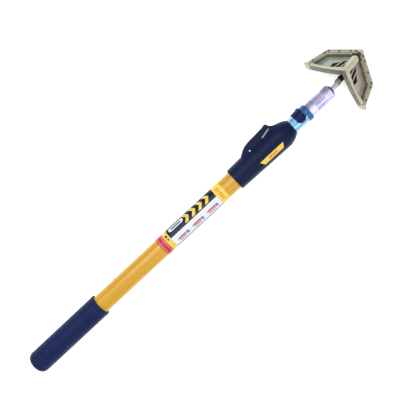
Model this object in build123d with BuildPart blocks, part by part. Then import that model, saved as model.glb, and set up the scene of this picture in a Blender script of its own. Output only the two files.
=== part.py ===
"""Telescoping extension pole with a ball-jointed drywall corner finisher.

Frame: the pole lies along +X from its grip butt at the origin to the tool head,
+Z is up (the nameplate side) and +Y is the side of the thumb trigger.
The corner finisher is drawn in its own frame, with the ball centre at its origin,
the ridge along its +X and its convex face up, then set in place by HEAD_POSE.
"""

import os
from math import cos, radians, sin, sqrt, tan

from build123d import *

os.makedirs("parts", exist_ok=True)

# ---------------------------------------------------------------- driving sizes (mm)
FIT = 0.3                      # running gap between bodies that move

# stations along the pole are measured from a datum plane inside the grip
DATUM = 6.0                    # the datum's distance from the grip's butt, the origin

GRIP_START = -DATUM
GRIP_END = 143.0
GRIP_R = 19.1
GRIP_RIM_R = 19.45
GRIP_CORNER = 10.5

OUTER_R = 15.875               # 1 1/4 in tube
OUTER_WALL = 1.5
OUTER_START = 2.0
OUTER_END = 456.0

LABEL_START = 281.0
LABEL_END = 418.0
LABEL_T = 0.25

HOUSING_START = 441.0
HOUSING_END = 566.0
HOUSING_R0 = 19.2
HOUSING_R1 = 21.4
HOUSING_SHOULDER = 547.0
HOUSING_NOSE_R = 13.6
HUMP_HALF = 11.5

TRIGGER_HALF = 7.0
PIVOT_X = 490.0
PIVOT_Y = 17.6
PIVOT_R = 1.3

INNER_R = 12.7                 # 1 in tube
INNER_WALL = 1.3
INNER_START = 40.0
INNER_END = 601.0

LATCH_START = 576.0
LATCH_END = 593.0
COLLAR_START = 594.0
COLLAR_END = 602.5
COLLAR_R = 14.2

ADAPTER_END = 652.5
ADAPTER_R = 12.4
ADAPTER_FLATS = 22.9
ADAPTER_ZONE = 13.0
STUD_R = 9.0
STUD_END = 628.0

ROD_R = 3.8
STEM_YAW = 10.0
NUT_START = 664.5
NUT_LENGTH = 8.0
BALL_X = 693.0
BALL_R = 9.5
STEM_R = 5.4
NECK_R = 3.3

HEAD_YAW = 6.8
HEAD_PITCH = 22.5
HEAD_ROLL = 5.0
RIDGE_BACK = 28.0              # ridge start behind the ball centre
RIDGE_UP = 34.0                # ridge height over the ball centre
RIDGE_LENGTH = 50.0
NOSE_SETBACK = 5.5
NOSE_WIDTH = 66.0
TAIL_SETBACK = 6.5
TAIL_WIDTH = 86.0
WING_T = 10.5
PAN_DEPTH = 7.0
REAR_RIM = 3.6
REAR_BULGE = 2.0
STRIP = 9.0
CLAMP_T = 1.8
BLADE_T = 0.8
BLADE_PROUD = 0.8
FLANGE_T = 2.4

SEAT_IN = BALL_R + FIT
SEAT_OUT = SEAT_IN + 1.7
SOCKET_R = SEAT_OUT + FIT

PARTS = {}


# ---------------------------------------------------------------- helpers
def keep(builder, label):
    """Store a finished piece under its node name."""
    builder.part.label = label
    PARTS[label] = builder.part


def tube(x0, x1, r_in, r_out):
    """A plain ring or tube along X."""
    with BuildPart() as piece:
        with BuildSketch(Plane.YZ.offset(x0)):
            Circle(r_out)
            if r_in > 0:
                Circle(r_in, mode=Mode.SUBTRACT)
        extrude(amount=x1 - x0)
    return piece


def screw(plane, head_r, head_h, shank_r, length, slot=True):
    """A countersunk-look screw whose head top lies on the plane, shank along -Z."""
    with BuildPart() as piece:
        with BuildSketch(plane):
            Circle(head_r)
        extrude(amount=-head_h)
        with BuildSketch(plane.offset(-head_h)):
            Circle(shank_r)
        extrude(amount=-length)
        if slot:
            with BuildSketch(plane):
                Rectangle(head_r * 1.5, head_r * 0.35)
                Rectangle(head_r * 0.35, head_r * 1.5)
            extrude(amount=-head_h * 0.5, mode=Mode.SUBTRACT)
    return piece.part


def coil(plane, radius, wire_r, height, turns):
    """A compression spring standing on the plane."""
    with BuildPart() as piece:
        with BuildLine() as path:
            Helix(height / turns, height, radius, center=plane.origin, direction=plane.z_dir)
        with BuildSketch(Plane(origin=path.line @ 0, z_dir=path.line % 0)):
            Circle(wire_r)
        sweep(path=path.line, is_frenet=True)
    return piece


# ---------------------------------------------------------------- grip and outer tube
with BuildPart() as outer_tube:
    with BuildSketch(Plane.YZ.offset(OUTER_START)):
        Circle(OUTER_R)
        Circle(OUTER_R - OUTER_WALL, mode=Mode.SUBTRACT)
    extrude(amount=OUTER_END - OUTER_START)
keep(outer_tube, "outer_tube")

with BuildPart() as base_grip:
    with BuildSketch(Plane.XY):
        with BuildLine():
            flat_r = GRIP_R - GRIP_CORNER
            corner = cos(radians(45)) * GRIP_CORNER
            Polyline((GRIP_START, 0), (GRIP_START, flat_r))
            ThreePointArc(
                (GRIP_START, flat_r),
                (GRIP_START + GRIP_CORNER - corner, flat_r + corner),
                (GRIP_START + GRIP_CORNER, GRIP_R),
            )
            Polyline(
                (GRIP_START + GRIP_CORNER, GRIP_R),
                (GRIP_END - 7, GRIP_R),
                (GRIP_END - 5, GRIP_RIM_R),
                (GRIP_END - 1.2, GRIP_RIM_R),
                (GRIP_END, GRIP_RIM_R - 1.2),
                (GRIP_END, 0),
                (GRIP_START, 0),
            )
        make_face()
    revolve(axis=Axis.X)
    with BuildSketch(Plane.YZ.offset(OUTER_START)):
        Circle(OUTER_R)
    extrude(amount=GRIP_END, mode=Mode.SUBTRACT)
keep(base_grip, "base_grip")

PLUG_LENGTH = 18.0
with BuildPart() as tube_end_plug:
    with BuildSketch(Plane.YZ.offset(OUTER_START)):
        Circle(OUTER_R - OUTER_WALL)
    extrude(amount=PLUG_LENGTH)
    with BuildSketch(Plane.YZ.offset(OUTER_START + 3)):
        Circle(OUTER_R - OUTER_WALL - 2)
    extrude(amount=PLUG_LENGTH, mode=Mode.SUBTRACT)
keep(tube_end_plug, "tube_end_plug")

keep(tube(LABEL_START, LABEL_END, OUTER_R, OUTER_R + LABEL_T), "label_sleeve")

# ---------------------------------------------------------------- lock housing
BUSH_START = 506.0
BUSH_END = 562.0
BUSH_OUT = 15.0
HOUSING_BORE = INNER_R + FIT + 1.0
POCKET_START = 474.0
POCKET_END = 543.0
POCKET_FLOOR = 16.2
SLOT_DEPTH = 1.0


def housing_outline(offset):
    """Half profile of the housing body, from its low end to its nose."""
    return [
        (HOUSING_START, HOUSING_R0 - 1 + offset),
        (HOUSING_START + 1.5, HOUSING_R0 + offset),
        (HOUSING_SHOULDER, HOUSING_R1 + offset),
        (HOUSING_SHOULDER + 6, HOUSING_R1 - 1.5 + offset),
        (HOUSING_END - 7, HOUSING_R1 - 3.6 + offset),
        (HOUSING_END - 2, HOUSING_R1 - 6.6 + offset),
        (HOUSING_END, HOUSING_NOSE_R + offset),
    ]


with BuildPart() as housing:
    with BuildSketch(Plane.XY):
        Polygon(
            (HOUSING_START, 0), *housing_outline(0), (HOUSING_END, 0), align=None
        )
    revolve(axis=Axis.X)
    with BuildSketch(Plane.XY):
        with BuildLine():
            Polyline((472, 14), (474, 20.2))
            Spline((474, 20.2), (480, 24.0), (488, 27.2), (500, 29.2), (516, 30.1), (531, 30.7))
            Spline((531, 30.7), (536, 29.2), (541, 24.6), (548, 21.0))
            Polyline((548, 21.0), (549, 14), (472, 14))
        make_face()
    extrude(amount=HUMP_HALF, both=True)
    top_rims = housing.edges().filter_by(
        lambda e: abs(abs(e.center().Z) - HUMP_HALF) < 0.1 and e.center().Y > 22
    )
    fillet(top_rims, 2.0)
    # shallow slot in each cheek beside the lever's free end
    with BuildSketch(Plane.XY.offset(HUMP_HALF - SLOT_DEPTH)):
        with Locations((527, 20.9)):
            SlotOverall(19.5, 2.8, rotation=12.8)
    extrude(amount=SLOT_DEPTH + 1, mode=Mode.SUBTRACT)
    with BuildSketch(Plane.XY.offset(-HUMP_HALF - 1)):
        with Locations((527, 20.9)):
            SlotOverall(19.5, 2.8, rotation=12.8)
    extrude(amount=SLOT_DEPTH + 1, mode=Mode.SUBTRACT)
    # bores: outer tube seat, lock chamber, guide bush seat and nose
    with BuildSketch(Plane.XY):
        Polygon(
            (HOUSING_START - 1, 0),
            (HOUSING_START - 1, OUTER_R),
            (OUTER_END, OUTER_R),
            (OUTER_END, HOUSING_BORE),
            (BUSH_START, HOUSING_BORE),
            (BUSH_START, BUSH_OUT),
            (BUSH_END, BUSH_OUT),
            (BUSH_END, INNER_R + FIT),
            (HOUSING_END + 1, INNER_R + FIT),
            (HOUSING_END + 1, 0),
            align=None,
        )
    revolve(axis=Axis.X, mode=Mode.SUBTRACT)
    # trigger slot, open outwards, and the pawl window down to the inner tube
    with BuildSketch(Plane.XY):
        Polygon(
            (POCKET_START, 40),
            (POCKET_START, POCKET_FLOOR),
            (PIVOT_X + 4, POCKET_FLOOR - 0.6),
            (POCKET_END - 6, POCKET_FLOOR + 1.2),
            (POCKET_END, POCKET_FLOOR + 6),
            (POCKET_END, 40),
            align=None,
        )
    extrude(amount=TRIGGER_HALF + FIT, both=True, mode=Mode.SUBTRACT)
    with BuildSketch(Plane.XZ):
        with Locations((481, 0)):
            Rectangle(11.2, 10.6)
    extrude(amount=-18, mode=Mode.SUBTRACT)
    with BuildSketch(Plane.XY):
        with Locations((PIVOT_X, PIVOT_Y)):
            Circle(PIVOT_R)
    extrude(amount=30, both=True, mode=Mode.SUBTRACT)

HOUSING_SCREWS = [(463, -17.6), (505, -18.0), (551, -17.2), (463, 17.6)]
SCREW_TOP = 9.0
SCREW_TIP = 5.0
with BuildPart() as housing_holes:
    with BuildSketch(Plane.XY.offset(-SCREW_TOP)):
        with Locations(*HOUSING_SCREWS):
            Circle(0.95)
    extrude(amount=SCREW_TOP + SCREW_TIP)
    with BuildSketch(Plane.XY.offset(-SCREW_TOP + 2)):
        with Locations(*HOUSING_SCREWS):
            Circle(1.7)
    extrude(amount=-20)

with BuildPart() as housing_shell_upper:
    add(housing.part)
    split(bisect_by=Plane.XY, keep=Keep.TOP)
    add(housing_holes.part, mode=Mode.SUBTRACT)
keep(housing_shell_upper, "housing_shell_upper")

with BuildPart() as housing_shell_lower:
    add(housing.part)
    split(bisect_by=Plane.XY, keep=Keep.BOTTOM)
    add(housing_holes.part, mode=Mode.SUBTRACT)
keep(housing_shell_lower, "housing_shell_lower")

with BuildPart() as housing_screws:
    for screw_x, screw_y in HOUSING_SCREWS:
        low_face = Plane(origin=(screw_x, screw_y, -SCREW_TOP), x_dir=(1, 0, 0), z_dir=(0, 0, -1))
        add(screw(low_face, 1.7, 2.0, 0.95, SCREW_TOP + SCREW_TIP - 2.0))
keep(housing_screws, "housing_screws")

with BuildPart() as guide_bush:
    with BuildSketch(Plane.YZ.offset(BUSH_START)):
        Circle(BUSH_OUT)
        Circle(INNER_R + FIT, mode=Mode.SUBTRACT)
    extrude(amount=BUSH_END - BUSH_START)
keep(guide_bush, "guide_bush")

keep(tube(OUTER_END, OUTER_END + 5, INNER_R + FIT, HOUSING_BORE), "wiper_ring")

NAMEPLATE_T = 0.6
with BuildPart() as nameplate:
    with BuildSketch(Plane.XY):
        Polygon(
            *[(x, r) for x, r in housing_outline(NAMEPLATE_T)[1:3]],
            *[(x, r) for x, r in reversed(housing_outline(0)[1:3])],
            align=None,
        )
    revolve(axis=Axis.X)
    with BuildSketch(Plane.XY):
        Polygon((488.5, -7.9), (537.5, -7.9), (533.0, -15.6), (493.5, -15.6), align=None)
    extrude(amount=40, mode=Mode.INTERSECT)
keep(nameplate, "nameplate")

# ---------------------------------------------------------------- trigger and pawl
with BuildPart() as trigger:
    with BuildSketch(Plane.XY):
        with BuildLine():
            Spline((476.5, 21.0), (482, 25.4), (490, 28.6), (503, 30.2), (518, 30.9), (530, 31.6))
            Polyline(
                (530, 31.6),
                (534, 32.8),
                (536.5, 32.2),
                (539, 28.6),
                (537.5, 26.4),
                (531, 26.2),
                (515, 25.0),
                (498, 20.6),
                (494, PIVOT_Y - 0.4),
                (488, PIVOT_Y - 0.4),
                (487, 18.8),
                (476.5, 18.8),
                (476.5, 21.0),
            )
        make_face()
    extrude(amount=TRIGGER_HALF, both=True)
    crown = trigger.edges().filter_by(
        lambda e: abs(abs(e.center().Z) - TRIGGER_HALF) < 0.1 and e.center().Y > 27.5
        and e.length > 20
    )
    fillet(crown, 2.0)
    # serrations under the thumb
    with BuildSketch(Plane.XY):
        with Locations(*[(506 + 4 * i, 31.5 + 0.22 * i) for i in range(6)]):
            Circle(0.8)
    extrude(amount=TRIGGER_HALF + 1, both=True, mode=Mode.SUBTRACT)
    with BuildSketch(Plane.XY):
        with Locations((PIVOT_X, PIVOT_Y)):
            Circle(PIVOT_R)
    extrude(amount=TRIGGER_HALF + 1, both=True, mode=Mode.SUBTRACT)
    # spring well under the lever
    with BuildSketch(Plane.XZ.offset(-26.4)):
        with Locations((517, 0)):
            Circle(3.2)
    extrude(amount=2.5, mode=Mode.SUBTRACT)
keep(trigger, "trigger")

PIN_HALF = HUMP_HALF + 0.1
with BuildPart() as trigger_pin:
    with BuildSketch(Plane.XY.offset(-PIN_HALF)):
        with Locations((PIVOT_X, PIVOT_Y)):
            Circle(PIVOT_R)
    extrude(amount=2 * PIN_HALF)
keep(trigger_pin, "trigger_pin")

TRIGGER_SPRING_R = 2.3
SPRING_FLOOR = 17.6
TRIGGER_SPRING_AT = Plane(origin=(517, SPRING_FLOOR, 0), x_dir=(1, 0, 0), z_dir=(0, 1, 0))
keep(coil(TRIGGER_SPRING_AT, TRIGGER_SPRING_R, 0.35, 7.6, 5), "trigger_spring")

PAWL_TOP = 17.9
with BuildPart() as lock_pawl:
    with BuildSketch(Plane.XZ.offset(-(INNER_R + FIT))):
        with Locations((481, 0)):
            Rectangle(10.4, 9.8)
    extrude(amount=-(PAWL_TOP - INNER_R - FIT))
    with BuildSketch(Plane.YZ.offset(470)):
        Circle(INNER_R + FIT)
    extrude(amount=30, mode=Mode.SUBTRACT)
keep(lock_pawl, "lock_pawl")

# ---------------------------------------------------------------- inner tube and tip
keep(tube(INNER_START, INNER_END, INNER_R - INNER_WALL, INNER_R), "inner_tube")

BUSH_R = OUTER_R - OUTER_WALL - FIT
keep(tube(INNER_START, INNER_START + 22, INNER_R, BUSH_R), "inner_end_bush")

with BuildPart() as tip_collar:
    with BuildSketch(Plane.XY):
        Polygon(
            (COLLAR_START, INNER_R),
            (COLLAR_START, COLLAR_R - 0.6),
            (COLLAR_START + 0.6, COLLAR_R),
            (COLLAR_END - 0.6, COLLAR_R),
            (COLLAR_END, COLLAR_R - 0.6),
            (COLLAR_END, STUD_R + 1.5),
            (INNER_END, STUD_R + 1.5),
            (INNER_END, INNER_R),
            align=None,
        )
    revolve(axis=Axis.X)
keep(tip_collar, "tip_collar")

THREAD_PITCH = 4.0
with BuildPart() as threaded_tip:
    with BuildSketch(Plane.XY):
        Polygon(
            (562, 0), (562, INNER_R - INNER_WALL), (INNER_END, INNER_R - INNER_WALL),
            (INNER_END, STUD_R), (STUD_END - 1.5, STUD_R), (STUD_END, STUD_R - 1.5), (STUD_END, 0),
            align=None,
        )
    revolve(axis=Axis.X)
    with BuildSketch(Plane.XY):
        for i in range(5):
            with Locations((606.5 + THREAD_PITCH * i, STUD_R)):
                Rectangle(1.8, 2.2)
    revolve(axis=Axis.X, mode=Mode.SUBTRACT)
keep(threaded_tip, "threaded_tip")

LATCH_IN = INNER_R + FIT
with BuildPart() as tip_latch:
    # saddle with a thumb lip, longer at its crown than at its rounded feet
    with BuildSketch(Plane.XY):
        Polygon(
            (LATCH_START, 0),
            (LATCH_START, LATCH_IN + 0.9),
            (LATCH_START + 1.5, LATCH_IN + 1.7),
            (LATCH_END - 6, LATCH_IN + 2.3),
            (LATCH_END - 3, LATCH_IN + 3.6),
            (LATCH_END - 1, LATCH_IN + 3.4),
            (LATCH_END, LATCH_IN + 1.6),
            (LATCH_END, 0),
            align=None,
        )
    revolve(axis=Axis.X)
    with BuildSketch(Plane.XZ):
        with Locations(((LATCH_START + LATCH_END) / 2, 0)):
            RectangleRounded(LATCH_END - LATCH_START, 40, 5)
    extrude(amount=40, both=True, mode=Mode.INTERSECT)
    with BuildSketch(Plane.XY):
        with BuildLine():
            Polyline((LATCH_START - 1, 20), (LATCH_START - 1, 0))
            ThreePointArc((LATCH_START - 1, 0), ((LATCH_START + LATCH_END) / 2, -7.5), (LATCH_END + 1, 0))
            Polyline((LATCH_END + 1, 0), (LATCH_END + 1, 20), (LATCH_START - 1, 20))
        make_face()
    extrude(amount=20, both=True, mode=Mode.INTERSECT)
    with BuildSketch(Plane.YZ.offset(LATCH_START - 1)):
        Circle(LATCH_IN)
    extrude(amount=30, mode=Mode.SUBTRACT)
    # groove under the crown for the return spring
    with BuildSketch(Plane.XY):
        with Locations((LATCH_START + 7, LATCH_IN + 0.5)):
            Rectangle(8, 1.6)
    extrude(amount=1.2, both=True, mode=Mode.SUBTRACT)
keep(tip_latch, "tip_latch")

LATCH_SPRING_AT = Plane(origin=(LATCH_START + 3.4, LATCH_IN + 0.55, 0), x_dir=(0, 0, 1), z_dir=(1, 0, 0))
keep(coil(LATCH_SPRING_AT, 0.45, 0.18, 7.0, 7), "latch_spring")

# ---------------------------------------------------------------- adapter, rod and ball
with BuildPart() as adapter_body:
    with BuildSketch(Plane.XY):
        Polygon(
            (COLLAR_END, 0), (COLLAR_END, ADAPTER_R - 0.5), (COLLAR_END + 0.5, ADAPTER_R),
            (ADAPTER_END - 4.0, ADAPTER_R), (ADAPTER_END, ADAPTER_R - 3.6), (ADAPTER_END, 0),
            align=None,
        )
    revolve(axis=Axis.X)
    for zone_start in (COLLAR_END, ADAPTER_END - 4.0 - ADAPTER_ZONE):
        with BuildSketch(Plane.YZ.offset(zone_start)):
            Circle(ADAPTER_R + 5)
            RegularPolygon(ADAPTER_FLATS / 2, 6, major_radius=False, rotation=22, mode=Mode.SUBTRACT)
        extrude(amount=ADAPTER_ZONE, mode=Mode.SUBTRACT)
    with BuildSketch(Plane.YZ.offset(COLLAR_END)):
        Circle(STUD_R + 0.2)
    extrude(amount=28, mode=Mode.SUBTRACT)
    with BuildSketch(Plane.YZ.offset(ADAPTER_END)):
        Circle(ROD_R)
    extrude(amount=-12, mode=Mode.SUBTRACT)
keep(adapter_body, "adapter_body")

STEM_DIR = Vector(cos(radians(STEM_YAW)), sin(radians(STEM_YAW)), 0)
BEND_X = 659.0
BEND = Vector(BEND_X, 0, 0)
BALL = BEND + STEM_DIR * ((BALL_X - BEND_X) / STEM_DIR.X)


def on_stem(x):
    """Plane across the stem at the station x, looking towards the ball."""
    return Plane(origin=BEND + STEM_DIR * ((x - BEND_X) / STEM_DIR.X), z_dir=STEM_DIR)


with BuildPart() as adapter_rod:
    with BuildLine() as rod_path:
        rod_tip = on_stem(NUT_START).origin + STEM_DIR * NUT_LENGTH
        FilletPolyline((ADAPTER_END - 12, 0), (BEND_X, 0), rod_tip, radius=20)
    with BuildSketch(Plane.YZ.offset(ADAPTER_END - 12)):
        Circle(ROD_R)
    sweep(path=rod_path.line)
keep(adapter_rod, "adapter_rod")

with BuildPart() as rod_nut:
    with BuildSketch(on_stem(NUT_START)):
        RegularPolygon(4.7, 6, major_radius=False)
        Circle(ROD_R, mode=Mode.SUBTRACT)
    extrude(amount=NUT_LENGTH)
    with BuildSketch(on_stem(NUT_START)):
        Circle(5.2)
    extrude(amount=NUT_LENGTH, mode=Mode.INTERSECT)
keep(rod_nut, "rod_nut")

with BuildPart() as ball_stem:
    with BuildSketch(on_stem(NUT_START).offset(NUT_LENGTH)):
        Circle(STEM_R - 0.5)
    with BuildSketch(on_stem(NUT_START).offset(NUT_LENGTH + 4)):
        Circle(STEM_R)
    with BuildSketch(on_stem(BALL_X - 12)):
        Circle(NECK_R)
    with BuildSketch(on_stem(BALL_X)):
        Circle(NECK_R)
    loft(ruled=True)
    with Locations(BALL):
        Sphere(BALL_R)
keep(ball_stem, "ball_stem")

# ---------------------------------------------------------------- corner finisher frame
yaw_pitch = Rotation(0, 0, HEAD_YAW) * Rotation(0, HEAD_PITCH, 0)
HEAD_POSE = Location(BALL) * yaw_pitch * Rotation(-HEAD_ROLL, 0, 0)
OPENING = (HEAD_POSE.inverse() * Location(BALL - STEM_DIR)).position.normalized()

RIDGE = Vector(-RIDGE_BACK, 0, RIDGE_UP)
HALF = sqrt(0.5)
LEFT_FACE = Plane(origin=RIDGE, x_dir=(1, 0, 0), z_dir=(0, HALF, HALF))

TAIL = (TAIL_SETBACK, TAIL_WIDTH)
NOSE = (RIDGE_LENGTH - NOSE_SETBACK, NOSE_WIDTH)


def along(a, b, t):
    """A point between two points of the wing outline."""
    return (a[0] + (b[0] - a[0]) * t, a[1] + (b[1] - a[1]) * t)


def strip_sketch(a, b, inner, outer, trim_a, trim_b):
    """A straight strip beside the edge a-b, from inner to outer inside that edge."""
    edge = Vector(b[0] - a[0], b[1] - a[1]).normalized()
    inward = Vector(edge.Y, -edge.X)
    start = Vector(*a) + edge * trim_a
    end = Vector(*b) - edge * trim_b
    Polygon(
        *[
            (p.X, p.Y)
            for p in (
                start + inward * outer,
                end + inward * outer,
                end + inward * inner,
                start + inward * inner,
            )
        ],
        align=None,
    )


FRONT_A = (RIDGE_LENGTH, 0)
FRONT_EDGE = (NOSE, FRONT_A)
SIDE_EDGE = (TAIL, NOSE)
STEP = CLAMP_T + BLADE_T
DARK_START = 34.0
DARK_END = 44.0

HEAD_SCREW_R = 1.7
FRONT_STATIONS = (0.08, 0.39, 0.71, 0.86)
SIDE_STATIONS = (0.3, 0.82)


def inside_edge(a, b, t, inward_by):
    """A point at fraction t of the edge a-b, set inward from it."""
    edge = Vector(b[0] - a[0], b[1] - a[1]).normalized()
    inward = Vector(edge.Y, -edge.X)
    point = Vector(*along(a, b, t)) + inward * inward_by
    return (point.X, point.Y)


SCREW_SEATS = [inside_edge(*FRONT_EDGE, t, STRIP / 2) for t in FRONT_STATIONS]
SCREW_SEATS += [inside_edge(*SIDE_EDGE, t, STRIP / 2) for t in SIDE_STATIONS]


def on_left_face(u, v, height):
    """Plane parallel to the left wing's outer face, centred on the point u, v."""
    origin = LEFT_FACE.from_local_coords((u, v, height))
    return Plane(origin=origin, x_dir=LEFT_FACE.x_dir, z_dir=LEFT_FACE.z_dir)


with BuildPart() as screw_holes:
    for seat_u, seat_v in SCREW_SEATS:
        add(screw(on_left_face(seat_u, seat_v, 1.0), HEAD_SCREW_R, 1.6, 1.1, 5.0, slot=False))

# screws that fix the socket's flanges to the wings, driven from the concave side
FLANGE_SPOTS = ((18, 43), (33, 43))
with BuildPart() as flange_screws_left:
    for spot_u, spot_v in FLANGE_SPOTS:
        low = on_left_face(spot_u, spot_v, -WING_T - FLANGE_T - 0.9)
        under = Plane(origin=low.origin, x_dir=low.x_dir, z_dir=low.z_dir * -1)
        add(screw(under, 2.4, 1.6, 1.2, 3.6, slot=False))

with BuildPart() as wing_frame_left:
    # outline in the plane of its outer face: u along the ridge, v outwards
    with BuildSketch(LEFT_FACE):
        with BuildLine():
            Polyline((0, 0), (RIDGE_LENGTH, 0), NOSE, TAIL)
            ThreePointArc(TAIL, (along(TAIL, (0, 0), 0.5)[0] - REAR_BULGE, TAIL_WIDTH / 2), (0, 0))
        make_face()
    extrude(amount=-WING_T)
    # mitre on the ridge
    with BuildSketch(Plane.XZ):
        Rectangle(300, 300)
    extrude(amount=60, mode=Mode.SUBTRACT)
    # pan
    with BuildSketch(LEFT_FACE):
        with BuildLine():
            Polyline(
                (REAR_RIM + 3.4, 9), (DARK_START, 9), (RIDGE_LENGTH - STRIP - 2.5, 17),
                (NOSE[0] - STRIP - 1.2, NOSE_WIDTH - 6.5), (TAIL_SETBACK + REAR_RIM, TAIL_WIDTH - 12.5),
            )
            ThreePointArc(
                (TAIL_SETBACK + REAR_RIM, TAIL_WIDTH - 12.5), (3.2 + REAR_RIM - 1.8, 43),
                (REAR_RIM + 3.4, 9),
            )
        make_face()
    extrude(amount=-PAN_DEPTH, mode=Mode.SUBTRACT)
    # steps that carry the blades and their clamps
    with BuildSketch(LEFT_FACE):
        strip_sketch(*FRONT_EDGE, -1, STRIP, -5, 5)
        strip_sketch(*SIDE_EDGE, -1, STRIP, 3, -8)
    extrude(amount=-STEP, mode=Mode.SUBTRACT)
    # open chevron window with two ribs, and the relief behind the nose
    with BuildSketch(LEFT_FACE):
        Polygon((8.8, 9), (31.5, 9), (31.5, 15), (20.5, 42), (8.8, 42), align=None)
        with Locations((20, 20), (20, 30)):
            Rectangle(40, 2.4, rotation=-22, mode=Mode.SUBTRACT)
    extrude(amount=-WING_T - 1, mode=Mode.SUBTRACT)
    with BuildSketch(LEFT_FACE):
        with Locations(((DARK_START + DARK_END) / 2, 2)):
            Rectangle(DARK_END - DARK_START, 24)
    extrude(amount=-WING_T - 1, mode=Mode.SUBTRACT)
    add(screw_holes.part, mode=Mode.SUBTRACT)
    add(flange_screws_left.part, mode=Mode.SUBTRACT)

with BuildPart() as front_blade_left:
    with BuildSketch(LEFT_FACE.offset(-STEP)):
        strip_sketch(*FRONT_EDGE, -BLADE_PROUD, STRIP - 1, 1, 6)
    extrude(amount=BLADE_T)
    add(screw_holes.part, mode=Mode.SUBTRACT)

with BuildPart() as front_clamp_left:
    with BuildSketch(LEFT_FACE.offset(-CLAMP_T)):
        strip_sketch(*FRONT_EDGE, 0.4, STRIP - 0.3, 1, 6)
    extrude(amount=CLAMP_T + 0.6)
    add(screw_holes.part, mode=Mode.SUBTRACT)

with BuildPart() as side_blade_left:
    with BuildSketch(LEFT_FACE.offset(-STEP)):
        strip_sketch(*SIDE_EDGE, -BLADE_PROUD, STRIP - 1, 4, 1.5)
    extrude(amount=BLADE_T)
    add(front_blade_left.part, mode=Mode.SUBTRACT)
    add(screw_holes.part, mode=Mode.SUBTRACT)

with BuildPart() as side_clamp_left:
    with BuildSketch(LEFT_FACE.offset(-CLAMP_T)):
        strip_sketch(*SIDE_EDGE, 0.4, STRIP - 0.3, 4, 1.5)
    extrude(amount=CLAMP_T + 0.6)
    add(front_clamp_left.part, mode=Mode.SUBTRACT)
    add(screw_holes.part, mode=Mode.SUBTRACT)

# skid shoe on the wing's tail corner
with BuildPart() as skid_left:
    with BuildSketch(LEFT_FACE.offset(0.9)):
        with BuildLine():
            toe = (TAIL[0] + 4.4, TAIL[1] + 0.4)
            heel = (TAIL[0] - 1.9, TAIL[1] - 0.5)
            Polyline(heel, (TAIL[0] - 1.6, TAIL[1] - 9), (TAIL[0] + 1.4, TAIL[1] - 9), toe)
            ThreePointArc(toe, (TAIL[0] + 0.8, TAIL[1] + 2.4), heel)
        make_face()
    extrude(amount=-WING_T + 1.5)
    add(side_blade_left.part, mode=Mode.SUBTRACT)
    add(side_clamp_left.part, mode=Mode.SUBTRACT)
    add(wing_frame_left.part, mode=Mode.SUBTRACT)

with BuildPart() as blade_screws_left:
    for seat_u, seat_v in SCREW_SEATS:
        add(screw(on_left_face(seat_u, seat_v, 1.0), HEAD_SCREW_R, 1.6, 1.1, 5.0))

# ridge bar and nose block straddle both wings
BAR_W = 5.2
BAR_T = 1.0
with BuildPart() as ridge_bar:
    with BuildSketch(Plane.YZ.offset(-RIDGE_BACK + 0.5)):
        top_z = RIDGE_UP + BAR_T / HALF
        Polygon(
            (0, RIDGE_UP), (BAR_W * HALF, RIDGE_UP - BAR_W * HALF),
            (BAR_W * HALF + BAR_T * HALF, RIDGE_UP - BAR_W * HALF + BAR_T * HALF), (0.6, top_z - 0.6),
            (-0.6, top_z - 0.6), (-BAR_W * HALF - BAR_T * HALF, RIDGE_UP - BAR_W * HALF + BAR_T * HALF),
            (-BAR_W * HALF, RIDGE_UP - BAR_W * HALF),
            align=None,
        )
    extrude(amount=DARK_START - 1.0)

with BuildPart() as nose_block:
    with BuildSketch(Plane.YZ.offset(-RIDGE_BACK + DARK_END + 1)):
        nose_w = 7.0
        nose_t = 0.45
        Polygon(
            (0, RIDGE_UP), (nose_w * HALF, RIDGE_UP - nose_w * HALF),
            (nose_w * HALF + nose_t, RIDGE_UP - nose_w * HALF + nose_t), (0, RIDGE_UP + 2 * nose_t),
            (-nose_w * HALF - nose_t, RIDGE_UP - nose_w * HALF + nose_t),
            (-nose_w * HALF, RIDGE_UP - nose_w * HALF),
            align=None,
        )
    extrude(amount=RIDGE_LENGTH - DARK_END - 0.5)
    add(front_blade_left.part, mode=Mode.SUBTRACT)
    add(front_clamp_left.part, mode=Mode.SUBTRACT)
    add(mirror(front_blade_left.part, about=Plane.XZ, mode=Mode.PRIVATE), mode=Mode.SUBTRACT)
    add(mirror(front_clamp_left.part, about=Plane.XZ, mode=Mode.PRIVATE), mode=Mode.SUBTRACT)

# ---------------------------------------------------------------- ball socket
SOCKET_HALF = 15.0
SOCKET_LOW = -14.5
APEX = RIDGE_UP - WING_T / HALF
SOCKET_X0 = -11.5
SOCKET_X1 = 13.5
OPENING_ANGLE = 50.0

with BuildPart() as socket_block:
    with BuildSketch(Plane.YZ.offset(SOCKET_X0)):
        Polygon(
            (0, APEX), (SOCKET_HALF, APEX - SOCKET_HALF), (SOCKET_HALF, SOCKET_LOW + 3),
            (SOCKET_HALF - 3, SOCKET_LOW), (3 - SOCKET_HALF, SOCKET_LOW), (-SOCKET_HALF, SOCKET_LOW + 3),
            (-SOCKET_HALF, APEX - SOCKET_HALF),
            align=None,
        )
    extrude(amount=SOCKET_X1 - SOCKET_X0)
    Sphere(SOCKET_R, mode=Mode.SUBTRACT)
    with BuildSketch(Plane(origin=(0, 0, 0), z_dir=OPENING)):
        Circle(0.01)
    with BuildSketch(Plane(origin=OPENING * 40, z_dir=OPENING)):
        Circle(40 * tan(radians(OPENING_ANGLE)))
    loft(mode=Mode.SUBTRACT)

CAP_SCREWS = [(-8.4, 12.2), (-8.4, -12.2), (10.4, 12.2), (10.4, -12.2)]


def cap_screw_solid(spot, slot):
    """A retainer screw driven up from under the socket."""
    plane = Plane(origin=(spot[0], spot[1], SOCKET_LOW - 0.2), x_dir=(1, 0, 0), z_dir=(0, 0, -1))
    return screw(plane, 2.2, 3.4, 1.2, 14.0, slot)


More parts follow.
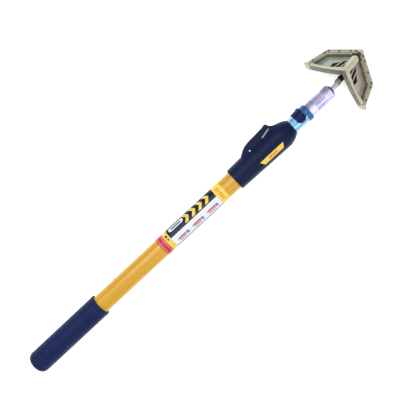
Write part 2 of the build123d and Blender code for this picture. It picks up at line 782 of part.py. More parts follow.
with BuildPart() as socket_flange:
    with BuildSketch(LEFT_FACE.offset(-WING_T)):
        with Locations((26, 23)):
            RectangleRounded(42, 48, 4)
    extrude(amount=-FLANGE_T)
    # keep the flange clear of the seats' cavity and on its own side of the ridge
    with BuildSketch(Plane.XZ):
        Rectangle(300, 300)
    extrude(amount=60, mode=Mode.SUBTRACT)

with BuildPart() as socket_body:
    add(socket_block.part)
    split(bisect_by=Plane.XY, keep=Keep.TOP)
    add(socket_flange.part)
    add(mirror(socket_flange.part, about=Plane.XZ, mode=Mode.PRIVATE))
    Sphere(SOCKET_R, mode=Mode.SUBTRACT)
    add(flange_screws_left.part, mode=Mode.SUBTRACT)
    add(mirror(flange_screws_left.part, about=Plane.XZ, mode=Mode.PRIVATE), mode=Mode.SUBTRACT)
    for spot in CAP_SCREWS:
        add(cap_screw_solid(spot, False), mode=Mode.SUBTRACT)

with BuildPart() as socket_retainer:
    add(socket_block.part)
    split(bisect_by=Plane.XY, keep=Keep.BOTTOM)
    for spot in CAP_SCREWS:
        add(cap_screw_solid(spot, False), mode=Mode.SUBTRACT)

with BuildPart() as socket_screws:
    for spot in CAP_SCREWS:
        add(cap_screw_solid(spot, True))


def seat_ring(polar_from, polar_to):
    """A liner zone round the ball, between two angles from the socket's opening."""
    with BuildPart() as ring:
        with BuildSketch(Plane.XY):
            with BuildLine():
                points = []
                for radius in (SEAT_IN, SEAT_OUT):
                    for angle in (polar_from, (polar_from + polar_to) / 2, polar_to):
                        points.append((radius * cos(radians(angle)), radius * sin(radians(angle))))
                ThreePointArc(points[0], points[1], points[2])
                Line(points[2], points[5])
                ThreePointArc(points[5], points[4], points[3])
                Line(points[3], points[0])
            make_face()
        revolve(axis=Axis.X)
    return ring.part


to_opening = Location(Plane(origin=BALL, x_dir=STEM_DIR * -1, z_dir=(0, 0, 1)))
with BuildPart() as ball_seat_rear:
    add(to_opening * seat_ring(26, 70))
keep(ball_seat_rear, "ball_seat_rear")

with BuildPart() as ball_seat_front:
    add(to_opening * seat_ring(110, 179.9))
keep(ball_seat_front, "ball_seat_front")

# ---------------------------------------------------------------- place the head's pieces
HEAD = {
    "wing_frame": wing_frame_left.part,
    "front_blade": front_blade_left.part,
    "front_clamp": front_clamp_left.part,
    "side_blade": side_blade_left.part,
    "side_clamp": side_clamp_left.part,
    "skid": skid_left.part,
    "blade_screws": blade_screws_left.part,
    "flange_screws": flange_screws_left.part,
}
for name, piece in HEAD.items():
    with BuildPart() as left:
        add(HEAD_POSE * piece)
    keep(left, name + "_left")
    with BuildPart() as right:
        add(HEAD_POSE * mirror(piece, about=Plane.XZ, mode=Mode.PRIVATE))
    keep(right, name + "_right")

CENTRE = {
    "ridge_bar": ridge_bar.part,
    "nose_block": nose_block.part,
    "socket_body": socket_body.part,
    "socket_retainer": socket_retainer.part,
    "socket_screws": socket_screws.part,
}
for name, piece in CENTRE.items():
    with BuildPart() as placed:
        add(HEAD_POSE * piece)
    keep(placed, name)

# ---------------------------------------------------------------- write the pieces
for label, piece in PARTS.items():
    placed_piece = piece.moved(Location((DATUM, 0, 0)))
    placed_piece.label = label
    export_step(placed_piece, "parts/" + label + ".step")

print("ball centre in the row frame", BALL + Vector(DATUM, 0, 0))
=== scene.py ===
"""Looks of the drywall corner finisher on its telescoping pole.

Everything is in metres, in the row frame: the pole lies along +X, +Y is the side
of the thumb trigger and +Z is up. The CAD nodes carry the shapes; this script adds
the rubber grip, the printed label, small trim, coil springs and every material.
"""

import math

import bmesh
import bpy
from mathutils import Matrix, Vector


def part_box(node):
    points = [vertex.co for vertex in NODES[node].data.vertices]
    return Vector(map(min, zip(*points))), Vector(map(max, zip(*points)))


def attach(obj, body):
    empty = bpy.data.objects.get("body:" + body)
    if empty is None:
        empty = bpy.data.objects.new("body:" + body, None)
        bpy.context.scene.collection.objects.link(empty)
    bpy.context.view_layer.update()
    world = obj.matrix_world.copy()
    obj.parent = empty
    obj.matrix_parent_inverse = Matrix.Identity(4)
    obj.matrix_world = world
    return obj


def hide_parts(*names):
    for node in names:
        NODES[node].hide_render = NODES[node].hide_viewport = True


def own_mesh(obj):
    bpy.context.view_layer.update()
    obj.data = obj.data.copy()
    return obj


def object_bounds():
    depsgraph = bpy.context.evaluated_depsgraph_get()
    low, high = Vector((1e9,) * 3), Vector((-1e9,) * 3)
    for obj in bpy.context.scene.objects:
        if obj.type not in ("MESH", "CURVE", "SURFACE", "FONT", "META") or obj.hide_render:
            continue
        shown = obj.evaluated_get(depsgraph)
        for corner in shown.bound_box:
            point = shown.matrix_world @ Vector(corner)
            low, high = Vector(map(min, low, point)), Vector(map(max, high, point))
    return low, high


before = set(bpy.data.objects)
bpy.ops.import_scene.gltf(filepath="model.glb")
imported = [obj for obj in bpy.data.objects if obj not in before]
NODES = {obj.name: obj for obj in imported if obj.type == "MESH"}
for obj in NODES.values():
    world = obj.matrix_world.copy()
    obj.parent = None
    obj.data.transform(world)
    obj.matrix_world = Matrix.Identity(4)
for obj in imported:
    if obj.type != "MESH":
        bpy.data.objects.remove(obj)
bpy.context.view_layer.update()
MM = 0.001


# ---------------------------------------------------------------- material helpers
def linear(r, g, b):
    """An sRGB colour, 0 to 255, as the linear RGBA that shaders take."""
    def one(c):
        c /= 255
        return c / 12.92 if c <= 0.04045 else ((c + 0.055) / 1.055) ** 2.4
    return (one(r), one(g), one(b), 1.0)


class Finish:
    """A Principled material with object-space detail added in layers."""

    def __init__(self, name, colour, metallic=0.0, roughness=0.5, coat=0.0, shine=0.14):
        self.mat = bpy.data.materials.new(name)
        self.mat.use_nodes = True
        self.tree = self.mat.node_tree
        self.bsdf = self.tree.nodes["Principled BSDF"]
        self.colour = colour
        self.bsdf.inputs["Base Color"].default_value = colour
        self.bsdf.inputs["Metallic"].default_value = metallic
        self.bsdf.inputs["Roughness"].default_value = roughness
        self.bsdf.inputs["Coat Weight"].default_value = coat
        self.bsdf.inputs["Coat Roughness"].default_value = 0.15
        self.bsdf.inputs["Specular IOR Level"].default_value = 0.5 if metallic else shine
        coords = self.tree.nodes.new("ShaderNodeTexCoord")
        self.coords = coords.outputs["Object"]
        self.height = None

    def scaled(self, stretch):
        """Object coordinates stretched along each axis."""
        mapping = self.tree.nodes.new("ShaderNodeMapping")
        mapping.inputs["Scale"].default_value = stretch
        self.tree.links.new(self.coords, mapping.inputs["Vector"])
        return mapping.outputs["Vector"]

    def noise(self, scale, detail=4.0, stretch=(1, 1, 1)):
        node = self.tree.nodes.new("ShaderNodeTexNoise")
        node.inputs["Scale"].default_value = scale
        node.inputs["Detail"].default_value = detail
        self.tree.links.new(self.scaled(stretch), node.inputs["Vector"])
        return node.outputs["Fac"]

    def ramp(self, fac, low, high, start=0.35, end=0.65):
        """Colour ramp between two colours."""
        node = self.tree.nodes.new("ShaderNodeValToRGB")
        node.color_ramp.elements[0].position = start
        node.color_ramp.elements[0].color = low
        node.color_ramp.elements[1].position = end
        node.color_ramp.elements[1].color = high
        self.tree.links.new(fac, node.inputs["Fac"])
        return node.outputs["Color"]

    def mottle(self, other, scale, start=0.35, end=0.65, stretch=(1, 1, 1)):
        """Colour wandering between the base colour and another."""
        out = self.ramp(self.noise(scale, 5.0, stretch), self.colour, other, start, end)
        self.tree.links.new(out, self.bsdf.inputs["Base Color"])
        return self

    def uneven(self, low, high, scale, stretch=(1, 1, 1)):
        """Roughness wandering between two values."""
        node = self.tree.nodes.new("ShaderNodeMapRange")
        node.inputs["From Min"].default_value = 0.3
        node.inputs["From Max"].default_value = 0.7
        node.inputs["To Min"].default_value = low
        node.inputs["To Max"].default_value = high
        self.tree.links.new(self.noise(scale, 3.0, stretch), node.inputs["Value"])
        self.tree.links.new(node.outputs["Result"], self.bsdf.inputs["Roughness"])
        return self

    def bump(self, scale, strength, distance=0.0002, stretch=(1, 1, 1), detail=4.0):
        node = self.tree.nodes.new("ShaderNodeBump")
        node.inputs["Strength"].default_value = strength
        node.inputs["Distance"].default_value = distance
        self.tree.links.new(self.noise(scale, detail, stretch), node.inputs["Height"])
        if self.height is not None:
            self.tree.links.new(self.height, node.inputs["Normal"])
        self.height = node.outputs["Normal"]
        self.tree.links.new(self.height, self.bsdf.inputs["Normal"])
        return self

    def pits(self, scale, strength, distance=0.0002):
        """Round pores, as on a moulded or cast skin."""
        node = self.tree.nodes.new("ShaderNodeTexVoronoi")
        node.inputs["Scale"].default_value = scale
        self.tree.links.new(self.coords, node.inputs["Vector"])
        bump = self.tree.nodes.new("ShaderNodeBump")
        bump.inputs["Strength"].default_value = strength
        bump.inputs["Distance"].default_value = distance
        self.tree.links.new(node.outputs["Distance"], bump.inputs["Height"])
        if self.height is not None:
            self.tree.links.new(self.height, bump.inputs["Normal"])
        self.height = bump.outputs["Normal"]
        self.tree.links.new(self.height, self.bsdf.inputs["Normal"])
        return self


def cast_metal(name, colour, other):
    """Satin die-cast alloy with patchy tone and a grainy skin."""
    finish = Finish(name, colour, metallic=0.55, roughness=0.42)
    finish.mottle(other, 60, 0.3, 0.75).uneven(0.34, 0.55, 240)
    return finish.bump(900, 0.25, 0.0002).pits(700, 0.12, 0.0001).mat


BALL = Vector((0.699, 0.005995, 0.0))
HEAD_TURN = (
    Matrix.Rotation(math.radians(6.8), 3, "Z") @ Matrix.Rotation(math.radians(22.5), 3, "Y")
    @ Matrix.Rotation(math.radians(-5.0), 3, "X")
)
RIDGE = BALL + HEAD_TURN @ Vector((-0.028, 0, 0.034))


PAN_BAND = ((0.255, 0.0), (0.285, 1.0), (0.325, 1.0), (0.355, 0.0))
# depths where the pan walls get painted shade, from the pan floor up towards the rim
WALL_SHADE_BAND = ((0.355, 1.0), (0.74, 0.8), (0.86, 0.0), (1.0, 0.0))


def wing_metal(name, side, pan, pan_other, rim, rim_other):
    """Cast alloy: pan floor, pan walls darkened with painted shade and lighter rims, told apart by depth."""
    finish = Finish(name, rim, metallic=0.5, roughness=0.42)
    tree = finish.tree
    normal = HEAD_TURN @ Vector((0, side * math.sqrt(0.5), math.sqrt(0.5)))
    dot = tree.nodes.new("ShaderNodeVectorMath")
    dot.operation = "DOT_PRODUCT"
    dot.inputs[1].default_value = normal
    tree.links.new(finish.coords, dot.inputs[0])
    depth = tree.nodes.new("ShaderNodeMapRange")
    depth.inputs["From Min"].default_value = RIDGE.dot(normal) - 0.0105
    depth.inputs["From Max"].default_value = RIDGE.dot(normal) + 0.0010
    tree.links.new(dot.outputs["Value"], depth.inputs["Value"])
    # painted shade: the recessed pan walls are coloured darker, as if shaded
    wall_shade = linear(78, 74, 62)
    wall_shade_other = linear(126, 120, 102)
    tone = finish.ramp(finish.noise(80, 5.0), rim, rim_other, 0.3, 0.7)
    for band, low, high in ((WALL_SHADE_BAND, wall_shade, wall_shade_other), (PAN_BAND, pan, pan_other)):
        mask = tree.nodes.new("ShaderNodeValToRGB")
        stops = mask.color_ramp.elements
        while len(stops) < len(band):
            stops.new(0.5)
        for stop, (place, value) in zip(stops, band):
            stop.position = place
            stop.color = (value, value, value, 1)
        tree.links.new(depth.outputs["Result"], mask.inputs["Fac"])
        mix = tree.nodes.new("ShaderNodeMix")
        mix.data_type = "RGBA"
        tree.links.new(mask.outputs["Color"], mix.inputs[0])
        tree.links.new(tone, mix.inputs[6])
        tree.links.new(finish.ramp(finish.noise(60, 5.0), low, high, 0.3, 0.7), mix.inputs[7])
        tone = mix.outputs[2]
    tree.links.new(tone, finish.bsdf.inputs["Base Color"])
    finish.uneven(0.34, 0.55, 240)
    return finish.bump(900, 0.25, 0.0002).pits(700, 0.12, 0.0001).mat


def bright_metal(name, colour, other, roughness=0.25, stretch=(1, 1, 1)):
    """Machined or anodised metal with fine tool lines."""
    finish = Finish(name, colour, metallic=0.8, roughness=roughness)
    finish.mottle(other, 90, 0.3, 0.7, stretch).uneven(roughness * 0.8, roughness * 1.3, 300, stretch)
    return finish.bump(1200, 0.08, 0.00006, stretch).mat


def moulded(name, colour, other, roughness=0.5, grain=2200, strength=0.22):
    """Moulded plastic with a fine spark-eroded grain."""
    finish = Finish(name, colour, roughness=roughness)
    finish.mottle(other, 45, 0.25, 0.8).uneven(roughness * 0.85, roughness * 1.2, 150)
    return finish.bump(grain, strength, 0.00012).mat


def printed(name, colour, other):
    """Glossy printed film."""
    finish = Finish(name, colour, roughness=0.3, coat=0.12)
    return finish.mottle(other, 70, 0.3, 0.8).bump(500, 0.04, 0.00005).mat


ALONG = (0.06, 1, 1)
AROUND = (1, 0.06, 0.06)

M = {
    "grip": moulded("grip_rubber", linear(14, 29, 72), linear(20, 36, 82), 0.5, 1500, 0.35),
    "housing": moulded("housing_plastic", linear(4, 19, 54), linear(8, 25, 62), 0.42),
    "trigger": moulded("trigger_plastic", linear(12, 30, 72), linear(18, 38, 82), 0.36),
    "latch": moulded("latch_plastic", linear(8, 20, 66), linear(14, 28, 76), 0.35),
    "black": moulded("black_plastic", linear(14, 14, 15), linear(24, 24, 26), 0.45),
    "nylon": moulded("natural_nylon", linear(214, 210, 198), linear(200, 196, 184), 0.4),
    "tube": Finish("yellow_paint", linear(202, 149, 16), roughness=0.28, coat=0.3, shine=0.4)
    .mottle(linear(211, 160, 26), 50, 0.3, 0.8, ALONG).uneven(0.26, 0.38, 90, ALONG)
    .bump(700, 0.05, 0.00008, ALONG).mat,
    "inner": bright_metal("pale_blue_anodised", linear(128, 176, 212), linear(146, 192, 224), 0.22, ALONG),
    "collar": bright_metal("blue_anodised", linear(48, 96, 150), linear(62, 112, 168), 0.28, AROUND),
    "adapter": bright_metal("adapter_metal", linear(172, 170, 206), linear(196, 192, 224), 0.22, AROUND),
    "nut": bright_metal("nut_metal", linear(140, 136, 118), linear(160, 156, 138), 0.4),
    "steel": bright_metal("plated_steel", linear(176, 176, 178), linear(196, 196, 198), 0.3),
    "dark": bright_metal("dark_screws", linear(52, 48, 42), linear(74, 68, 60), 0.45),
    "wing_left": wing_metal("cast_left", 1, linear(150, 158, 146), linear(184, 190, 178),
                            linear(176, 172, 148), linear(202, 198, 176)),
    "wing_right": wing_metal("cast_right", -1, linear(162, 148, 140), linear(194, 182, 174),
                             linear(174, 168, 146), linear(200, 194, 172)),
    "clamp": cast_metal("clamp_metal", linear(142, 138, 118), linear(166, 162, 142)),
    "ridge": cast_metal("ridge_metal", linear(180, 176, 154), linear(202, 198, 178)),
    "blade": bright_metal("blade_steel", linear(170, 166, 148), linear(190, 186, 168), 0.3),
    "film_white": printed("film_white", linear(226, 232, 244), linear(216, 224, 240)),
    "film_navy": printed("film_navy", linear(4, 16, 42), linear(9, 22, 50)),
    "film_yellow": printed("film_yellow", linear(232, 200, 82), linear(238, 206, 92)),
    "film_red": printed("film_red", linear(212, 66, 62), linear(222, 84, 78)),
    "film_crimson": printed("film_crimson", linear(178, 50, 70), linear(192, 64, 84)),
    "film_pink": printed("film_pink", linear(240, 150, 140), linear(244, 164, 150)),
    "inlay": moulded("grey_inlay", linear(150, 160, 178), linear(164, 172, 188), 0.4),
    "film_blue": printed("film_blue", linear(96, 122, 170), linear(110, 134, 180)),
}

LOOKS = {
    "outer_tube": "tube", "base_grip": "grip", "tube_end_plug": "black", "label_sleeve": "film_white",
    "housing_shell_upper": "housing", "housing_shell_lower": "housing", "housing_screws": "steel",
    "guide_bush": "nylon", "wiper_ring": "nylon", "nameplate": "film_yellow", "trigger": "trigger",
    "trigger_pin": "steel", "trigger_spring": "steel", "lock_pawl": "steel", "inner_tube": "inner",
    "inner_end_bush": "nylon", "tip_collar": "collar", "threaded_tip": "collar", "tip_latch": "latch",
    "latch_spring": "steel", "adapter_body": "adapter", "adapter_rod": "adapter", "rod_nut": "nut",
    "ball_stem": "black", "ball_seat_rear": "black", "ball_seat_front": "black",
    # the socket body is black plastic; its flanges also show black through the wing windows and the nose recess,
    # painted shade where the inside is dark
    "ridge_bar": "ridge", "nose_block": "ridge", "socket_body": "black", "socket_retainer": "black",
    "socket_screws": "steel",
}
for side in ("left", "right"):
    LOOKS["wing_frame_" + side] = "wing_" + side
    LOOKS["front_blade_" + side] = "blade"
    LOOKS["side_blade_" + side] = "blade"
    LOOKS["front_clamp_" + side] = "clamp"
    LOOKS["side_clamp_" + side] = "clamp"
    LOOKS["skid_" + side] = "ridge"
    LOOKS["blade_screws_" + side] = "dark"
    LOOKS["flange_screws_" + side] = "steel"

SOFT_EDGE = {
    "wing_frame_left": 0.7, "wing_frame_right": 0.7, "ridge_bar": 0.5, "skid_left": 0.6, "skid_right": 0.6,
    "adapter_body": 0.25, "tip_collar": 0.3, "tip_latch": 0.4, "trigger": 0.5, "rod_nut": 0.4,
    "housing_shell_upper": 0.35, "housing_shell_lower": 0.35, "front_clamp_left": 0.3,
    "front_clamp_right": 0.3, "side_clamp_left": 0.3, "side_clamp_right": 0.3, "socket_body": 0.5,
    "socket_retainer": 0.6, "nose_block": 0.15,
}


def finish_node(name, look):
    """Give a CAD node its material, softened edges and clean shading."""
    node = NODES[name]
    node.data.materials.clear()
    node.data.materials.append(M[look])
    if "custom_normal" in node.data.attributes:
        node.data.attributes.remove(node.data.attributes["custom_normal"])
    node.data.shade_smooth()
    weld = node.modifiers.new("weld", "WELD")
    weld.merge_threshold = 0.000004
    if name in SOFT_EDGE:
        bevel = node.modifiers.new("soft_edges", "BEVEL")
        bevel.width = SOFT_EDGE[name] * MM
        bevel.segments = 2
        bevel.limit_method = "ANGLE"
        bevel.angle_limit = math.radians(35)
        bevel.use_clamp_overlap = True
    else:
        split = node.modifiers.new("crisp_edges", "EDGE_SPLIT")
        split.split_angle = math.radians(30)
    normals = node.modifiers.new("face_normals", "WEIGHTED_NORMAL")
    normals.keep_sharp = True


for node_name, look_name in LOOKS.items():
    finish_node(node_name, look_name)


# ---------------------------------------------------------------- mesh helpers
def add_piece(name, bm, body, look, smooth=True):
    """Turn a bmesh into a finished piece that rides on a body."""
    bmesh.ops.recalc_face_normals(bm, faces=bm.faces)
    mesh = bpy.data.meshes.new(name)
    bm.to_mesh(mesh)
    bm.free()
    mesh.materials.append(M[look])
    if smooth:
        mesh.shade_smooth()
        mesh.set_sharp_from_angle(angle=math.radians(35))
    piece = bpy.data.objects.new(name, mesh)
    bpy.context.scene.collection.objects.link(piece)
    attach(piece, body)
    return piece


def lathe(name, profile, body, look, segments=96):
    """A closed surface of revolution about X from (x, r) points in millimetres."""
    bm = bmesh.new()
    rings = []
    for x, r in profile:
        if r < 1e-6:
            rings.append([bm.verts.new((x * MM, 0, 0))])
            continue
        ring = []
        for k in range(segments):
            a = 2 * math.pi * k / segments
            ring.append(bm.verts.new((x * MM, r * MM * math.cos(a), r * MM * math.sin(a))))
        rings.append(ring)
    for low, high in zip(rings, rings[1:]):
        for k in range(segments):
            nxt = (k + 1) % segments
            if len(low) == 1:
                bm.faces.new((low[0], high[nxt], high[k]))
            elif len(high) == 1:
                bm.faces.new((low[k], low[nxt], high[0]))
            else:
                bm.faces.new((low[k], low[nxt], high[nxt], high[k]))
    return add_piece(name, bm, body, look)


def wrapped(name, outlines, radius, body, look, taper=(0, 0), thick=0.06, step=1.2):
    """Thin printed shapes wrapped on a tube or cone. Outlines are (x, arc) in millimetres:
    arc is measured round the tube from the top, positive towards the trigger side.
    Taper is (x where the radius holds, growth of the radius along x)."""
    bm = bmesh.new()
    for outline in outlines:
        verts = [bm.verts.new((x, s, 0)) for x, s in outline]
        bm.faces.new(verts)
    arcs = [v.co.y for v in bm.verts]
    level = min(arcs) + step
    while level < max(arcs) - 0.01:
        cut = bm.verts[:] + bm.edges[:] + bm.faces[:]
        bmesh.ops.bisect_plane(bm, geom=cut, plane_co=(0, level, 0), plane_no=(0, 1, 0))
        level += step
    bmesh.ops.triangulate(bm, faces=bm.faces[:], quad_method="BEAUTY", ngon_method="BEAUTY")
    top = bmesh.ops.extrude_face_region(bm, geom=bm.faces[:])["geom"]
    for item in top:
        if isinstance(item, bmesh.types.BMVert):
            item.co.z = thick
    for v in bm.verts:
        here = radius + (v.co.x - taper[0]) * taper[1]
        a = v.co.y / here
        r = here + v.co.z
        v.co = Vector((v.co.x, r * math.sin(a), r * math.cos(a))) * MM
    return add_piece(name, bm, body, look)


def rect(x0, x1, s0, s1):
    return [(x0, s0), (x1, s0), (x1, s1), (x0, s1)]


def pill(x0, x1, s0, s1, steps=8):
    """A rectangle with round ends."""
    r = (s1 - s0) / 2
    mid = (s0 + s1) / 2
    points = []
    for centre, start in ((x1 - r, -90), (x0 + r, 90)):
        for k in range(steps + 1):
            a = math.radians(start + 180 * k / steps)
            points.append((centre + r * math.cos(a), mid + r * math.sin(a)))
    return points


# ---------------------------------------------------------------- rubber grip
grip_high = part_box("base_grip")[1]
tube_low, tube_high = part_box("outer_tube")
GRIP_LENGTH = grip_high.x / MM
GRIP_RIM = grip_high.y / MM
GRIP_BODY = GRIP_RIM - 0.35
GRIP_ROUND = 10.5
TUBE_R = tube_high.y / MM
BUTT_THICK = tube_low.x / MM


def grip_profile():
    """Rounded butt with a flat disc, a straight barrel and a rolled rim."""
    points = [(0.35, 0), (0.35, 4.6), (0.0, 5.0), (0.0, GRIP_BODY - GRIP_ROUND)]
    for k in range(1, 13):
        a = math.radians(90 * k / 12)
        points.append((GRIP_ROUND * (1 - math.cos(a)), GRIP_BODY - GRIP_ROUND + GRIP_ROUND * math.sin(a)))
    barrel = [(GRIP_ROUND + (GRIP_LENGTH - 8 - GRIP_ROUND) * k / 24, GRIP_BODY) for k in range(1, 25)]
    points += barrel
    points += [
        (GRIP_LENGTH - 7.4, GRIP_BODY - 0.25), (GRIP_LENGTH - 6.8, GRIP_BODY - 0.25),
        (GRIP_LENGTH - 6.2, GRIP_BODY + 0.1), (GRIP_LENGTH - 5.2, GRIP_RIM), (GRIP_LENGTH - 1.6, GRIP_RIM),
        (GRIP_LENGTH - 0.5, GRIP_RIM - 0.4), (GRIP_LENGTH, GRIP_RIM - 1.3), (GRIP_LENGTH, TUBE_R + 0.35),
        (GRIP_LENGTH - 0.6, TUBE_R), (BUTT_THICK, TUBE_R), (BUTT_THICK, 0),
    ]
    return points


grip = lathe("grip_sleeve", grip_profile(), "handle", "grip")
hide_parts("base_grip")

# ---------------------------------------------------------------- printed label
label_low, label_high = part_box("label_sleeve")
LX0 = label_low.x / MM
LX1 = label_high.x / MM
LR = label_high.y / MM
HALF_TURN = math.pi * LR
QUARTER = HALF_TURN / 2
RED_END = LX0 + 12.5
YELLOW_END = RED_END + 9.0
PANEL_END = LX1 - 16.0


def round_the_tube(x0, x1):
    """A band all the way round, in two halves so that it closes."""
    return [rect(x0, x1, -HALF_TURN + 0.01, 0), rect(x0, x1, 0, HALF_TURN - 0.01)]


def art(name, outlines, look, lift=0.0):
    return wrapped(name, outlines, LR + lift, "handle", look)


def both_faces(outlines):
    """The same print on the front and on the back of the tube."""
    turned = []
    for outline in outlines:
        shift = HALF_TURN if min(s for x, s in outline) < 0 else -HALF_TURN
        turned.append([(x, s + shift) for x, s in outline])
    return outlines + turned


art("label_red_band", round_the_tube(LX0, RED_END), "film_crimson")
art("label_red_rules", [r for x in (LX0 + 2.0, RED_END - 3.0) for r in round_the_tube(x, x + 1.0)],
    "film_pink", 0.06)
art("label_yellow_bands", round_the_tube(RED_END, YELLOW_END) + round_the_tube(PANEL_END, LX1), "film_yellow")
art("label_navy_panel", both_faces([rect(YELLOW_END, PANEL_END, 0.8, QUARTER + 7)]), "film_navy")

# big chevrons on the navy half, a generic pattern
CHEVRONS = []
for k in range(4):
    x = YELLOW_END + 34 + 14.4 * k
    CHEVRONS.append([(x, 2.6), (x + 6.5, 2.6), (x + 13.0, 11.0), (x + 6.5, 19.4), (x, 19.4), (x + 6.5, 11.0)])
art("label_chevrons", both_faces(CHEVRONS), "film_yellow", 0.06)
art("label_pill", both_faces([pill(YELLOW_END + 4, YELLOW_END + 35, 9.0, 17.0)]), "film_white", 0.12)
art("label_pill_bar", both_faces([pill(YELLOW_END + 9, YELLOW_END + 30, 11.6, 14.2)]), "film_navy", 0.18)

LOZENGES = []
LINES = []
for k in range(3):
    x = YELLOW_END + 6 + 31.5 * k
    LOZENGES.append([(x, -8.4), (x + 7, -6.9), (x + 18, -6.9), (x + 22, -8.4), (x + 18, -10.2), (x + 4, -10.2)])
    LINES.append(rect(x + 3, x + 19, -12.6, -11.6))
    LINES.append(rect(x + 5, x + 17, -14.2, -13.4))
    LINES.append([(x + 19.5, -12.5), (x + 21.5, -6.5), (x + 23.4, -6.5), (x + 25.5, -12.5)])
art("label_lozenges", both_faces(LOZENGES), "film_red", 0.06)
art("label_lines", both_faces(LINES), "film_blue", 0.06)
MARKS = []
for k in range(5):
    s = 11.0 - 4.6 * k
    MARKS.append([(PANEL_END + 5.0, s), (PANEL_END + 10.0, s - 1.2), (PANEL_END + 10.0, s - 3.0),
                  (PANEL_END + 5.0, s - 1.8)])
art("label_red_marks", both_faces(MARKS), "film_red", 0.06)
art("label_navy_marks", both_faces([rect(RED_END + 3, RED_END + 6, 6, 11), rect(RED_END + 3, RED_END + 6, 1, 4)]),
    "film_navy", 0.06)

# ---------------------------------------------------------------- housing trim
PLATE_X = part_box("nameplate")[0].x / MM
HOUSING_TAPER = 2.2 / 104.5            # growth of the housing's radius towards its shoulder
TAPER_START = 448.5
PLATE_R0 = 19.8                        # the plate's outer radius if it reached TAPER_START
PLATE_R = PLATE_R0 + (PLATE_X - TAPER_START) * HOUSING_TAPER
DASHES = []
for k in range(5):
    x = PLATE_X + 16 + 3.6 * k
    DASHES.append([(x, -14.6), (x + 2.2, -14.6), (x + 3.2, -10.6), (x + 1.0, -10.6)])
wrapped("nameplate_dashes", DASHES, PLATE_R, "handle", "film_red",
        (PLATE_X, HOUSING_TAPER))

SLOT_AT = Vector((533.0, 20.9))
SLOT_TILT = math.radians(12.8)
INLAY_FLOOR = 10.52                    # just above the slot's floor, from the pole's axis
INLAY_T = 0.7


def cheek_inlay(name, side):
    """A pale strip lying in the slot of one cheek."""
    bm = bmesh.new()
    verts = []
    for x, y in pill(-8.9, 8.9, -1.05, 1.05):
        across = SLOT_AT.y + x * math.sin(SLOT_TILT) + y * math.cos(SLOT_TILT)
        along = SLOT_AT.x + x * math.cos(SLOT_TILT) - y * math.sin(SLOT_TILT)
        verts.append(bm.verts.new((along * MM, across * MM, side * INLAY_FLOOR * MM)))
    face = bm.faces.new(verts)
    top = bmesh.ops.extrude_face_region(bm, geom=[face])["geom"]
    for item in top:
        if isinstance(item, bmesh.types.BMVert):
            item.co.z += side * INLAY_T * MM
    add_piece(name, bm, "handle", "inlay", smooth=False)


cheek_inlay("inlay_upper", 1)
cheek_inlay("inlay_lower", -1)

# ---------------------------------------------------------------- coil springs
def coil_spring(name, node, base, axis, side, radius, wire, height, turns, body):
    """A wound wire in place of a CAD coil."""
    wire *= MM
    base = Vector(base) * MM
    axis = Vector(axis)
    side = Vector(side)
    third = axis.cross(side)
    around = 8
    steps = turns * 24
    bm = bmesh.new()
    rings = []
    for k in range(steps + 1):
        a = 2 * math.pi * turns * k / steps
        out = side * math.cos(a) + third * math.sin(a)
        centre = base + out * radius * MM + axis * (height * MM * k / steps)
        ring = []
        for j in range(around):
            b = 2 * math.pi * j / around
            ring.append(bm.verts.new(centre + (out * math.cos(b) + axis * math.sin(b)) * wire))
        rings.append(ring)
    for low, high in zip(rings, rings[1:]):
        for j in range(around):
            nxt = (j + 1) % around
            bm.faces.new((low[j], low[nxt], high[nxt], high[j]))
    bm.faces.new(rings[0][::-1])
    bm.faces.new(rings[-1])
    spring = add_piece(name, bm, body, "steel")
    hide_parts(node)
    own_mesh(spring)


coil_spring("trigger_coil", "trigger_spring", (523.0, 17.6, 0), (0, 1, 0), (1, 0, 0), 2.3, 0.35, 7.6, 5,
            "handle")
coil_spring("latch_coil", "latch_spring", (585.4, 13.55, 0), (1, 0, 0), (0, 0, 1), 0.45, 0.18, 7.0, 7,
            "inner_pole")

# ---------------------------------------------------------------- camera
CAMERA_AT = Vector((0.436, 0.0143, 1.100))
LOOK_AT = Vector((0.384, 0.0143, 0.0))
POLE_ANGLE = math.radians(43.03)
LENS = 61.2

forward = (LOOK_AT - CAMERA_AT).normalized()
along_pole = (Vector((1, 0, 0)) - forward * forward.x).normalized()
across_pole = (Vector((0, 1, 0)) - forward * forward.y - along_pole * along_pole.y).normalized()
right = along_pole * math.cos(POLE_ANGLE) - across_pole * math.sin(POLE_ANGLE)
up = along_pole * math.sin(POLE_ANGLE) + across_pole * math.cos(POLE_ANGLE)
camera_data = bpy.data.cameras.new("camera")
camera_data.lens = LENS
camera_data.sensor_width = 36.0
camera_data.clip_end = 20.0
camera = bpy.data.objects.new("camera", camera_data)
turn = Matrix((right, up, -forward)).transposed()
camera.matrix_world = Matrix.Translation(CAMERA_AT) @ turn.to_4x4()
bpy.context.scene.collection.objects.link(camera)
bpy.context.scene.camera = camera

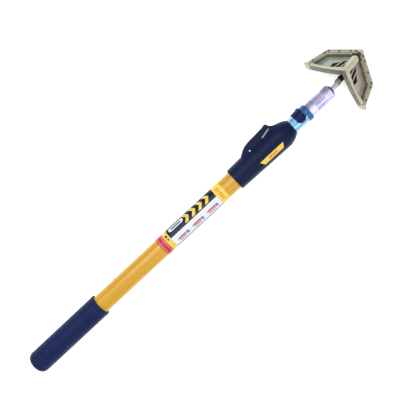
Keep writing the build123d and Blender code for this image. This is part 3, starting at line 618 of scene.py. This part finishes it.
# ---------------------------------------------------------------- floor and light
FLOOR_HALF = 6.0
floor_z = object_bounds()[0].z
floor_mesh = bpy.data.meshes.new("floor")
floor_mesh.from_pydata(
    [(-FLOOR_HALF, -FLOOR_HALF, floor_z), (FLOOR_HALF, -FLOOR_HALF, floor_z),
     (FLOOR_HALF, FLOOR_HALF, floor_z), (-FLOOR_HALF, FLOOR_HALF, floor_z)],
    [], [(0, 1, 2, 3)],
)
floor = bpy.data.objects.new("floor", floor_mesh)
floor_finish = Finish("floor_paper", linear(250, 250, 250), roughness=0.9)
floor_finish.mottle(linear(252, 252, 252), 3)
floor_finish.bsdf.inputs["Emission Color"].default_value = (1, 1, 1, 1)
floor_finish.bsdf.inputs["Emission Strength"].default_value = 0.5
floor_mesh.materials.append(floor_finish.mat)
bpy.context.scene.collection.objects.link(floor)

world = bpy.data.worlds.new("studio")
world.use_nodes = True
background = world.node_tree.nodes["Background"]
background.inputs["Strength"].default_value = 0.85
sky = world.node_tree.nodes
direction = sky.new("ShaderNodeTexCoord")
parts = sky.new("ShaderNodeSeparateXYZ")
ramp = sky.new("ShaderNodeValToRGB")
# bright overhead softbox, dimmer walls
ramp.color_ramp.elements[0].position = 0.15
ramp.color_ramp.elements[0].color = (0.30, 0.31, 0.34, 1)
ramp.color_ramp.elements[1].position = 0.75
ramp.color_ramp.elements[1].color = (1.0, 1.0, 1.0, 1)
world.node_tree.links.new(direction.outputs["Generated"], parts.inputs["Vector"])
world.node_tree.links.new(parts.outputs["Z"], ramp.inputs["Fac"])
world.node_tree.links.new(ramp.outputs["Color"], background.inputs["Color"])
bpy.context.scene.world = world


def area_light(name, at, target, size, watts, size_y=None):
    data = bpy.data.lights.new(name, "AREA")
    data.energy = watts
    data.size = size
    if size_y:
        data.shape = "RECTANGLE"
        data.size_y = size_y
    lamp = bpy.data.objects.new(name, data)
    lamp.location = at
    lamp.rotation_euler = (Vector(target) - Vector(at)).to_track_quat("-Z", "Y").to_euler()
    bpy.context.scene.collection.objects.link(lamp)


area_light("key", (0.2, 0.7, 1.6), (0.4, 0, 0), 0.7, 14, 1.6)
area_light("fill", (0.6, -1.3, 1.0), (0.4, 0, 0), 1.2, 6)

scene = bpy.context.scene
scene.view_settings.view_transform = "Standard"
scene.view_settings.look = "None"
